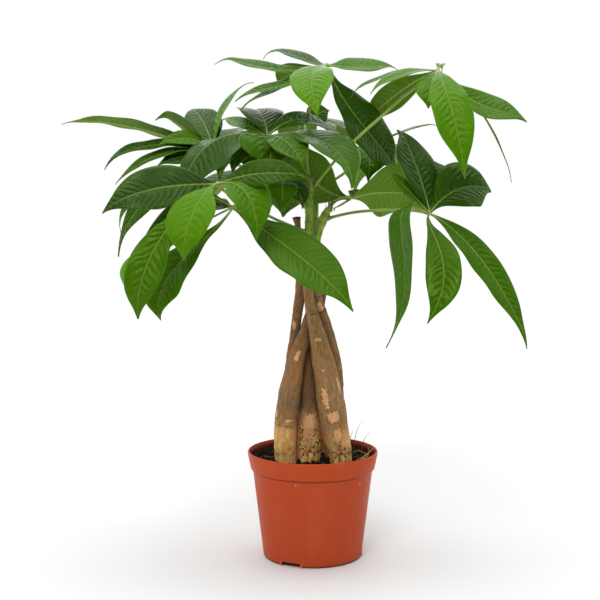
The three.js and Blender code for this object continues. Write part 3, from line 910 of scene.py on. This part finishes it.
def earth():
    """Damp black-brown potting mix with lighter flecks."""
    paint = Paint("potting_mix")
    place = paint.place()
    lump = place.noise(260, 6, 0.7)
    fleck = place.cells(330).step(0.2, 0.1) * place.noise(120, 2).step(0.55, 0.65)
    colour = lump.step(0.35, 0.7).mix((12, 9, 6), (50, 36, 24)).tinted(fleck * 0.8, (150, 112, 68))
    return paint.finish(Base_Color=colour, Roughness=0.85, Normal=lump.bump(1.2), Specular_IOR_Level=0.1)


def straw():
    """Dry root fibres and bits of straw."""
    paint = Paint("root_fibre")
    streak = paint.grain().stretched(2, 0.3).noise(1)
    pale = streak.mix((150, 122, 74), (206, 182, 126))
    dark = streak.mix((58, 44, 28), (100, 80, 52))
    colour = paint.value("pale").mix(dark, pale)
    return paint.finish(Base_Color=colour, Roughness=0.7, Normal=streak.bump(0.1))


def floor_paint():
    """Even white with a very faint cloudiness."""
    paint = Paint("white_floor")
    colour = paint.place().noise(3, 2).mix((216.46,) * 3, (219.22,) * 3)
    return paint.finish(Base_Color=colour, Roughness=0.7)


# Pot

def rounded(profile):
    """The profile with each of its inner corners cut into a short arc of three points."""
    soft = [profile[0]]
    for before, here, after in zip(profile, profile[1:], profile[2:]):
        corner = Vector(here)
        into = Vector(before) - corner
        out = Vector(after) - corner
        near = corner + into.normalized() * min(CORNER_RADIUS, 0.45 * into.length)
        far = corner + out.normalized() * min(CORNER_RADIUS, 0.45 * out.length)
        soft.extend(tuple(bezier((near, corner, far), along)[0]) for along in (0, 0.5, 1))
    soft.append(profile[-1])
    return soft


def turned(place, angle):
    """A place in metres, from one in millimetres in a frame turned about the upright axis."""
    return Euler((0, 0, math.radians(angle))).to_matrix() @ (Vector(place) * MM)


def channel_bar(angle, width, low, high, inner, outer):
    """A bar that points outward at an angle, between two heights and two distances from the middle."""
    bpy.ops.mesh.primitive_cube_add(size=1)
    made = bpy.context.object
    made.scale = Vector((outer - inner, width, high - low)) * MM
    made.location = turned(((inner + outer) / 2, 0, (low + high) / 2), angle)
    made.rotation_euler.z = math.radians(angle)
    return made


def combined(target, tool, operation):
    """Joins or cuts target by tool, which is then removed."""
    step = target.modifiers.new(operation, "BOOLEAN")
    step.operation = operation
    step.solver = "EXACT"
    step.object = tool
    bpy.context.view_layer.objects.active = target
    bpy.ops.object.modifier_apply(modifier=step.name)
    bpy.data.objects.remove(tool)


def cover_channel(shell, angle):
    """Adds the raised floor over one channel."""
    width, top = CHANNEL_WIDTH + 2 * COVER_WALL, CHANNEL_HEIGHT + COVER_WALL
    cover = channel_bar(angle, width, 0.4, top, CHANNEL_INNER_END - COVER_WALL, FOOT_RADIUS - 0.8)
    combined(shell, cover, "UNION")


def cut_channel(shell, angle):
    """Cuts one channel and the drain hole above it."""
    hollow = channel_bar(angle, CHANNEL_WIDTH, -1, CHANNEL_HEIGHT, CHANNEL_INNER_END, RIM_RADIUS)
    combined(shell, hollow, "DIFFERENCE")
    bpy.ops.mesh.primitive_cylinder_add(radius=DRAIN_RADIUS * MM, depth=DRAIN_DEPTH * MM, vertices=32)
    drain = bpy.context.object
    drain.location = turned((DRAIN_DISTANCE, 0, CHANNEL_HEIGHT + 1), angle)
    combined(shell, drain, "DIFFERENCE")


def pot():
    """The pot's wall and foot with its channels, drain holes and pips, and the marks for its painted shade
    and painted pip highlights.
    """
    points = []
    rings = rounded(POT_PROFILE)
    for radius, height in rings:
        points.extend(circle(radius, height, POT_SIDES))
    last = (len(rings) - 1) * POT_SIDES
    ends = [tuple(reversed(range(POT_SIDES))), tuple(range(last, last + POT_SIDES))]
    shape = Shape()
    shape.add(points, bands(0, len(rings) - 1, POT_SIDES) + ends)
    made = shape.piece("pot_shell", [plastic()], "pot")
    for angle in CHANNEL_ANGLES:
        cover_channel(made, angle)
    for angle in CHANNEL_ANGLES:
        cut_channel(made, angle)
    for angle, height in PIPS:
        bpy.ops.mesh.primitive_uv_sphere_add(radius=PIP_RADIUS * MM, segments=16, ring_count=10)
        pip = bpy.context.object
        pip.location = turned((NECK_RADIUS - 0.3, 0, NECK_HEIGHT + height), angle)
        combined(made, pip, "UNION")
    made.data.polygons.foreach_set("use_smooth", [True] * len(made.data.polygons))
    made.data.set_sharp_from_angle(angle=math.radians(SHARP_ANGLE))
    mark_painted_shade_and_highlights(made.data)


def mark_painted_shade_and_highlights(mesh):
    """Writes where the pot's points lie inside it, for the painted shade there, and where a pip gets a
    painted highlight.
    """
    inside, painted_pip_highlight = [], []
    for vertex in mesh.vertices:
        x, y, z = vertex.co / MM
        away = math.hypot(x, y)
        cone = mixed(FOOT_RADIUS, NECK_RADIUS, z / NECK_HEIGHT)
        band = mixed(BAND_LOW_RADIUS, RIM_RADIUS - 0.9, (z - BAND_LOW) / (POT_HEIGHT - BAND_LOW))
        wall = cone if z < NECK_HEIGHT else band
        within = smoothstep(away, wall - 0.2, wall - 0.9)
        # Painted shade mask: the points of the inner wall from the soil up to just below the rim.
        inside.append(within * smoothstep(z, POT_HEIGHT + 0.5, POT_HEIGHT - 3))
        # Painted highlight mask: the points that bulge out of the pot's side, that is the pips.
        painted_pip_highlight.append(smoothstep(away - cone, 0.05, 0.4) if z < NECK_HEIGHT - 1 else 0.0)
    write_values(mesh, "inside", inside)
    write_values(mesh, "painted_pip_highlight", painted_pip_highlight)


# Soil

def soil_height(x, y):
    """Height of the soil: a low crown with lumps of several sizes."""
    away = math.hypot(x, y)
    heap = SOIL_HEAP * smoothstep(y - 0.4 * x, -12, 22)
    crown = SOIL_TOP + 0.9 + heap - SOIL_FALL * (away / SOIL_RADIUS) ** 2
    place = Vector((x, y, 0))
    lumps = sum(high * noise.noise(place * scale) for high, scale in SOIL_LUMPS)
    edge = smoothstep(away, SOIL_RADIUS - 3, SOIL_RADIUS)
    return crown + lumps * (1 - 0.6 * edge) + 1.2 * edge


def soil(material):
    """The soil's uneven top, its plain sides and floor, and the crumbs in it."""
    points = [Vector((0, 0, soil_height(0, 0)))]
    for i in range(1, SOIL_RINGS + 1):
        for place in circle(SOIL_RADIUS * i / SOIL_RINGS, 0, SOIL_SIDES):
            points.append(Vector((place.x, place.y, soil_height(place.x, place.y))))
    for radius, height in SOIL_UNDER:
        points.extend(circle(radius, height, SOIL_SIDES))
    count = SOIL_RINGS + len(SOIL_UNDER) - 1
    last = 1 + count * SOIL_SIDES
    faces = fan(0, 1, SOIL_SIDES) + flipped(bands(1, count, SOIL_SIDES))
    faces.append(tuple(reversed(range(last, last + SOIL_SIDES))))
    shape = Shape()
    shape.add(points, faces)
    draw = random.Random(11)
    for _ in range(CRUMBS):
        add_crumb(shape, draw)
    shape.piece("soil_body", [material], "soil")


def free_spot(draw, margin):
    """A random place on the soil that no trunk covers."""
    feet = [line[1] for line in TRUNKS.values()]
    while True:
        away = (SOIL_RADIUS - 1.5 - margin) * math.sqrt(draw.random())
        turn = 2 * math.pi * draw.random()
        x, y = away * math.cos(turn), away * math.sin(turn)
        if all(math.hypot(x - foot[0], y - foot[1]) > foot[3] + margin for foot in feet):
            return x, y


def add_crumb(shape, draw):
    """A lump of a few rough facets, sunk half into the soil."""
    size = 0.7 + 2.2 * draw.random() ** 2.2
    x, y = free_spot(draw, size * 0.4)
    middle = Vector((x, y, soil_height(x, y) + size * 0.15))
    turn = Euler([draw.uniform(0, 6.28) for _ in range(3)]).to_matrix()
    squash = Vector((1, draw.uniform(0.6, 1), draw.uniform(0.45, 0.8)))
    seed = Vector((draw.uniform(0, 99), draw.uniform(0, 99), 0))
    ball = [UP]
    for i in range(1, CRUMB_ROWS):
        tilt = math.pi * i / CRUMB_ROWS
        ball.extend(circle(math.sin(tilt), math.cos(tilt), CRUMB_SIDES))
    ball.append(-UP)
    rough = [point * (1 + 0.45 * noise.noise(point * 1.7 + seed)) for point in ball]
    placed = [middle + turn @ (point * squash) * size for point in rough]
    last = 1 + (CRUMB_ROWS - 2) * CRUMB_SIDES
    faces = fan(0, 1, CRUMB_SIDES) + flipped(bands(1, CRUMB_ROWS - 2, CRUMB_SIDES))
    faces += flipped(fan(last + CRUMB_SIDES, last, CRUMB_SIDES))
    shape.add(placed, faces)


def add_fibre(shape, points, radius, pale, sides=6, rings=20):
    """A fibre or straw that gets thinner along its way."""
    def swell(middle, out, base, grain, along):
        return middle + out * (base * (1 - 0.75 * along ** 2)), {"pale": pale}

    limb(shape, [(*point, radius) for point in points], swell, sides, rings)


def soil_litter(material):
    """Root fibres over the soil, pale straw at the right edge and three fine hairs behind the trunks."""
    shape = Shape()
    draw = random.Random(5)
    for _ in range(FIBRES):
        x, y = free_spot(draw, 3)
        heading = draw.uniform(0, 2 * math.pi)
        reach = draw.uniform(4, 12)
        points = []
        for i in range(4):
            px = x + (i / 3 - 0.5) * reach * math.cos(heading) + draw.uniform(-1, 1)
            py = y + (i / 3 - 0.5) * reach * math.sin(heading) + draw.uniform(-1, 1)
            away = min(1, (SOIL_RADIUS - 2) / max(1, math.hypot(px, py)))
            px, py = px * away, py * away
            points.append((px, py, soil_height(px, py) + draw.uniform(-0.2, 0.9)))
        add_fibre(shape, points, draw.uniform(0.12, 0.3), draw.random() ** 2, rings=14)
    for points, radius in STRAWS:
        add_fibre(shape, points, radius, 0.8, sides=8)
    for points in HAIRS:
        add_fibre(shape, points, HAIR_RADIUS, 0.1)
    shape.piece("soil_litter", [material])


# Trunks and shoots

def ring_at(name, middle, out):
    """How near a point of a trunk lies to one of its ring scars, up to 1."""
    ring = 0.0
    for height in RINGS[name]:
        slant = 1.5 * noise.noise(Vector((out.x * 2, out.y * 2, height)))
        ring = max(ring, bell(middle.z + slant - height, 1.5))
    return ring


def peel_at(name, place, out):
    """How far inside a peeled patch a point of a trunk lies: 0 at its edge, 1 in its middle."""
    peel = -1.0
    for x, z, half_width, half_height, lean, face in PEELED[name]:
        if out.y * face > 0.05:
            dx = place.x - x - lean * (place.z - z)
            peel = max(peel, 1 - math.hypot(dx / half_width, (place.z - z) / half_height))
    return peel


def trunk(name, material):
    """A trunk with lumps, ring scars, a flaky foot, peeled patches and a cut end."""
    # dark is the trunk's share of painted shade.
    olive, foot_top, dark, cracked = BARK[name]
    line = TRUNKS[name]
    seed = Vector((0, 0, line[0][0] * 3.1))
    bare_end = name in BARE_ENDS

    def swell(middle, out, base, grain, along):
        ridge = Vector((grain.x * 0.5, grain.y * 0.5, grain.z * 0.07)) + seed
        lumps = 0.045 * base * noise.noise((grain + seed) * 0.055)
        lumps += 0.35 * noise.noise((grain + seed) * 0.17) + 0.28 * noise.noise(ridge)
        ring = ring_at(name, middle, out)
        lumps += 0.3 * ring
        foot = (foot_top - middle.z) / FOOT_FADE
        if foot > 0:
            flake = noise.noise(Vector((grain.x * 0.3, grain.y * 0.3, grain.z * 0.16)) + seed)
            lumps += 0.55 * smoothstep(flake, -0.1, 0.1) * min(1, foot * 0.5)
        peel = peel_at(name, middle + out * base, out)
        lumps -= 0.25 * smoothstep(peel, -0.05, 0.1)
        end = smoothstep(along, 0.94, 1.0)
        shrink = 1 - (BARE_END_SHRINK if bare_end else SHOOT_END_SHRINK) * end ** 3
        cut = end if bare_end else 0.45 * end
        return middle + out * (base * shrink + lumps), {
            "olive": olive, "dark": dark, "cracked": cracked, "foot": foot, "ring": ring, "peel": peel,
            "cut": cut,
        }

    shape = Shape()
    limb(shape, line, swell, sides=72, rings=210, dome=0.6)
    shape.piece(f"{name}_bark", [material], name)


def shoot_of(root):
    """The shoot that a stalk stands on: the one that passes nearest to the stalk's root."""
    def gap(name):
        return min((through(SHOOTS[name], k / 20)[0] - Vector(root)).length for k in range(21))

    return min(SHOOTS, key=gap)


def shoot(name, materials):
    """A green shoot with swollen joints and leaf scars, scales at each stalk's foot, and buds at its tip."""
    line = SHOOTS[name]
    roots = [Vector(leaf["root"]) for leaf in LEAVES.values() if shoot_of(leaf["root"]) == name]
    scars = [mixed(line[0][2], line[-1][2], share) for share in SCARS]

    def swell(middle, out, base, grain, along):
        joint = max(bell(middle.z - height, 1.6) for height in scars)
        near = max([bell(middle.z - root.z, 3.5) for root in roots] + [0])
        lumps = 0.3 * joint + 0.35 * near + 0.18 * noise.noise(grain * 0.35)
        tip = 1 - 0.5 * smoothstep(along, 0.93, 1.0)
        return middle + out * (base + lumps) * tip, {"age": 1 - along * 1.6, "scar": joint}

    shape = Shape()
    limb(shape, line, swell, sides=36, rings=90, dome=1.0)
    draw = random.Random(len(name))
    for root in roots:
        for side in (-1, 1):
            add_scale(shape, root, side, draw)
    end, forward = through(line, 1)
    for side in (-1, 0, 1):
        add_bud(shape, end, forward, side)
    shape.piece(f"{name}_skin", materials, name)


def add_scale(shape, root, side, draw):
    """A narrow pointed scale beside the foot of a stalk."""
    out = Vector((side * 0.8, -0.6, 0)).normalized()
    line = [
        (*(root + out * 2.2 - UP * 1.5), 0.9), (*(root + out * 3.4 + UP * 2), 0.8),
        (*(root + out * 4.4 + UP * draw.uniform(5, 8)), 0.35),
    ]

    def swell(middle, around, base, grain, along):
        flat = Vector((around.x, around.y * 0.45, around.z))
        return middle + flat * base * (1 - 0.8 * along), {"age": 0.2 + along}

    limb(shape, line, swell, sides=10, rings=10, slot=BUD, dome=0.1)


def add_bud(shape, end, forward, side):
    """One of the folded new leaves that stand at the tip of a shoot."""
    lean = Vector((side * 0.55, -0.25 * abs(side), 0))
    reach = 9 if side == 0 else 7
    line = [
        (*(end - forward * 1.5), 1.5), (*(end + (forward + lean * 0.5) * reach * 0.45), 1.5),
        (*(end + (forward + lean) * reach), 0.3),
    ]

    def swell(middle, around, base, grain, along):
        return middle + around * base * (0.9 + 0.1 * math.cos(6 * along)), {"age": 0.15 + 0.5 * along}

    limb(shape, line, swell, sides=12, rings=14, slot=BUD, dome=0.2)


# Leaves

def rib_of(hub, leaflet):
    """The four control points of a leaflet's rib, its left side and its length from hub to tip."""
    x, y, z, pitch, _, _, bow = leaflet[:7]
    start, tip = Vector(hub), Vector((x, y, z))
    length = (tip - start).length
    heading = Vector((x - start.x, y - start.y, 0)).normalized()
    left = Vector((-heading.y, heading.x, 0))
    lift = math.radians(pitch)
    control = start + heading * 0.5 * length * math.cos(lift) + left * 2 * bow
    control.z += 0.5 * length * math.sin(lift)
    first, second = start.lerp(control, 2 / 3), tip.lerp(control, 2 / 3)
    if len(leaflet) > 7:
        aside, raised, aside_end, raised_end = leaflet[7]
        first += Vector((aside, 0, raised))
        second += Vector((aside_end, 0, raised_end))
    return (start, first, second, tip), left, length


def traits_of(leaflet, draw):
    """What the table says of a leaflet's blade, and its own waves, roll, sway, tone and vein offset."""
    width, turns = leaflet[4:6]
    return SimpleNamespace(
        width=width,
        turns=turns if isinstance(turns, tuple) else (turns, turns),
        full=leaflet[8] if len(leaflet) > 8 else 1,
        hook=leaflet[9] if len(leaflet) > 9 else draw.uniform(2.5, 4),
        fold=leaflet[10] if len(leaflet) > 10 else BLADE_FOLD,
        phases=[draw.uniform(0, 2 * math.pi) for _ in range(2)],
        wave=draw.uniform(0.012, 0.03) * width,
        roll=math.radians(draw.uniform(-4, 4)),
        sway=draw.uniform(-0.7, 0.7),
        tone=draw.random(),
        offset=draw.random(),
    )


def blade_frame(rib, left, own, share, curl):
    """The middle of a blade at a share of its length, its left side and the way its upper face looks."""
    middle, forward = bezier(rib, share)
    flat = (left - forward * left.dot(forward)).normalized()
    swing = math.sin(math.pi * share)
    spin = Quaternion(forward, math.radians(mixed(*own.turns, share)) + own.roll * swing)
    side, face = spin @ flat, spin @ forward.cross(flat)
    return middle - face * own.hook * curl ** 2 + side * own.sway * swing, side, face


def blade(shape, hub, leaflet, youth, draw):
    """A leaflet as two faces a little apart: waved and folded, narrow at the hub, hooked at its tip."""
    own = traits_of(leaflet, draw)
    rib, left, length = rib_of(hub, leaflet)
    rows = max(16, round(length / ROW_LENGTH))
    top, bottom, table = [], [], []
    for i in range(rows + 1):
        share = i / rows
        run = length * share
        curl = max(0, (share - HOOK_START) / (1 - HOOK_START))
        middle, side, face = blade_frame(rib, left, own, share, curl)
        half = max(TIP_HALF_WIDTH, 0.5 * own.width * max(0, eased(LEAFLET_OUTLINE, share ** own.full)))
        for j in range(-COLUMNS, COLUMNS + 1):
            part = j / COLUMNS
            reach = math.copysign(abs(part) ** 1.25, part)
            apart = abs(reach)
            crest = math.sin(2 * math.pi * run / WAVE_LENGTH + own.phases[j > 0])
            flutter = own.wave * apart ** 2.2 * crest * smoothstep(share, 0.08, 0.3)
            arch = own.fold * half * (1.5 * apart - 0.75 * apart ** 2)
            rise = arch + flutter - 0.25 * half * curl * apart
            place = middle + side * half * reach * (1 - 0.02 * crest * apart) + face * rise
            ridge = bell(reach * half, RIB_HALF_WIDTH) * (1 - 0.8 * share)
            thick = mixed(BLADE_THICKNESS, MARGIN_THICKNESS, smoothstep(apart, 0.7, 1.0))
            top.append(place + face * (0.5 * thick - RIB_SUNK * ridge))
            bottom.append(place - face * (0.5 * thick + RIB_RAISED * ridge))
            aside = apart * half
            shift = 0.35 * math.tanh(reach * half / 3)
            vein = (run - VEIN_SLANT * aside * (1 + apart)) / VEIN_SPACING + shift + own.offset
            table.append((run, reach * half, share, apart, vein + 20, own.tone, youth))
    columns = {name: list(column) * 2 for name, column in zip(BLADE_VALUES, zip(*table))}
    add_sheets(shape, top, bottom, rows, columns)


def add_sheets(shape, top, bottom, rows, columns):
    """The upper and lower face of a blade and the thin edge between them."""
    count = len(top)
    across = 2 * COLUMNS + 1
    upper, lower = [], []
    for i in range(rows):
        for j in range(across - 1):
            a = i * across + j
            b, c, d = a + 1, a + across + 1, a + across
            upper.append((a, d, c, b))
            lower.append((count + a, count + b, count + c, count + d))
    ring = list(range(across - 1)) + [i * across + across - 1 for i in range(rows)]
    ring += [rows * across + j for j in range(across - 1, 0, -1)] + [i * across for i in range(rows, 0, -1)]
    for a, b in zip(ring, ring[1:] + ring[:1]):
        lower.append((a, b, count + b, count + a))
    shape.add(top + bottom, upper + lower, [UPPER] * len(upper) + [UNDER] * len(lower), **columns)


def add_joint(shape, hub, leaflet, youth):
    """The short thick stalk under the foot of a leaflet, which runs on as its rib."""
    rib, _, length = rib_of(hub, leaflet)
    share = min(0.3, JOINT_LENGTH / length)

    def route(along):
        return bezier(rib, along * share)

    def radius(along):
        return mixed(JOINT_RADIUS, JOINT_END_RADIUS, along ** 0.8)

    def swell(middle, out, base, grain, along):
        return middle + out * base - UP * JOINT_SINK, {"youth": min(1, youth + 0.25), "knuckle": 1 - along}

    tube(shape, route, radius, swell, sides=10, rings=12, slot=STALK)


def add_stalk(shape, entry, youth, draw):
    """The stalk: a swollen foot, a slim slightly wavy middle and a knuckle at the hub."""
    root, bend, hub = [Vector(entry[part]) for part in ("root", "bend", "hub")]
    reach = (hub - root).length
    seed = draw.uniform(0, 50)

    def route(along):
        middle, forward = bezier((root, bend, hub), along)
        stray = Vector([noise.noise(Vector((seed, along * reach / 30, 7.3 * axis))) for axis in range(3)])
        return middle + stray * STALK_STRAY * math.sin(math.pi * along), forward

    def radius(along):
        foot = (STALK_FOOT_RADIUS - STALK_RADIUS) * bell(along * reach, 4.5)
        head = (HUB_RADIUS - STALK_RADIUS) * bell((1 - along) * reach, 3.4)
        return STALK_RADIUS + foot + head

    def swell(middle, out, base, grain, along):
        knuckle = bell((1 - along) * reach, 5)
        return middle + out * base, {"youth": min(1, youth + 0.3 * along), "knuckle": knuckle}

    rings = max(24, round(reach / STALK_RING_LENGTH))
    tube(shape, route, radius, swell, sides=16, rings=rings, slot=STALK, dome=1.6)


def leaf(name, entry, materials):
    """A leaf with its leaflets, their joints and its stalk."""
    draw = random.Random(name)
    shape = Shape()
    hub = Vector(entry["hub"])
    for leaflet, youth in zip(entry["leaflets"], entry["youth"]):
        blade(shape, hub, leaflet, youth, draw)
        add_joint(shape, hub, leaflet, youth)
    add_stalk(shape, entry, sum(entry["youth"]) / len(entry["youth"]), draw)
    shape.piece(f"{name}_foliage", materials, name)


# Floor, lights and camera

def floor():
    """A wide white floor under the pot."""
    bpy.ops.mesh.primitive_plane_add(size=12)
    made = bpy.context.object
    made.name = "studio_floor"
    made.data.materials.append(floor_paint())


def sun(name, direction, strength, angle):
    """A soft sun that shines down from a direction."""
    light = bpy.data.lights.new(name, "SUN")
    light.energy = strength
    light.angle = math.radians(angle)
    made = bpy.data.objects.new(name, light)
    made.location = direction
    made.rotation_euler = (-Vector(direction)).to_track_quat("-Z", "Y").to_euler()
    scene.collection.objects.link(made)


def world_light():
    """A bright studio that is darker on the side of the camera, in front of plain white."""
    world = bpy.data.worlds.new("studio")
    world.use_nodes = True
    tree = world.node_tree
    tree.nodes.clear()
    direction = {"Vector": Value(tree, "ShaderNodeTexCoord", {}, "Generated")}
    y, z = [Value(tree, "ShaderNodeSeparateXYZ", direction, axis) for axis in "YZ"]
    light = (z * 0.5 + y).step(-0.75, 0.9, WORLD_DIM, WORLD_BRIGHT)
    seen = Value(tree, "ShaderNodeLightPath", {}, "Is Camera Ray")
    strength = light * (1 - seen) + seen
    background = Value(tree, "ShaderNodeBackground", {"Color": (1, 1, 1, 1), "Strength": strength})
    Value(tree, "ShaderNodeOutputWorld", {"Surface": background})
    scene.world = world


def camera():
    """The photo's view."""
    data = bpy.data.cameras.new("photo_view")
    data.lens = CAMERA_LENS
    data.sensor_width = SENSOR_WIDTH
    made = bpy.data.objects.new("photo_view", data)
    made.location = CAMERA_PLACE
    made.rotation_euler = (math.radians(90 - CAMERA_PITCH), 0, 0)
    scene.collection.objects.link(made)
    scene.camera = made


# Build every piece
pot()
soil(earth())
soil_litter(straw())
bark_material = bark()
for name in TRUNKS:
    trunk(name, bark_material)
shoot_materials = [shoot_skin(), bud_skin()]
for name in SHOOTS:
    shoot(name, shoot_materials)
leaf_materials = [blade_top(), blade_underside(), stalk_skin()]
for name, entry in LEAVES.items():
    leaf(name, entry, leaf_materials)

# Set the stage
floor()
world_light()
for name, (direction, strength, angle) in SUNS.items():
    sun(name, direction, strength, angle)
camera()
scene.view_settings.view_transform = "Standard"
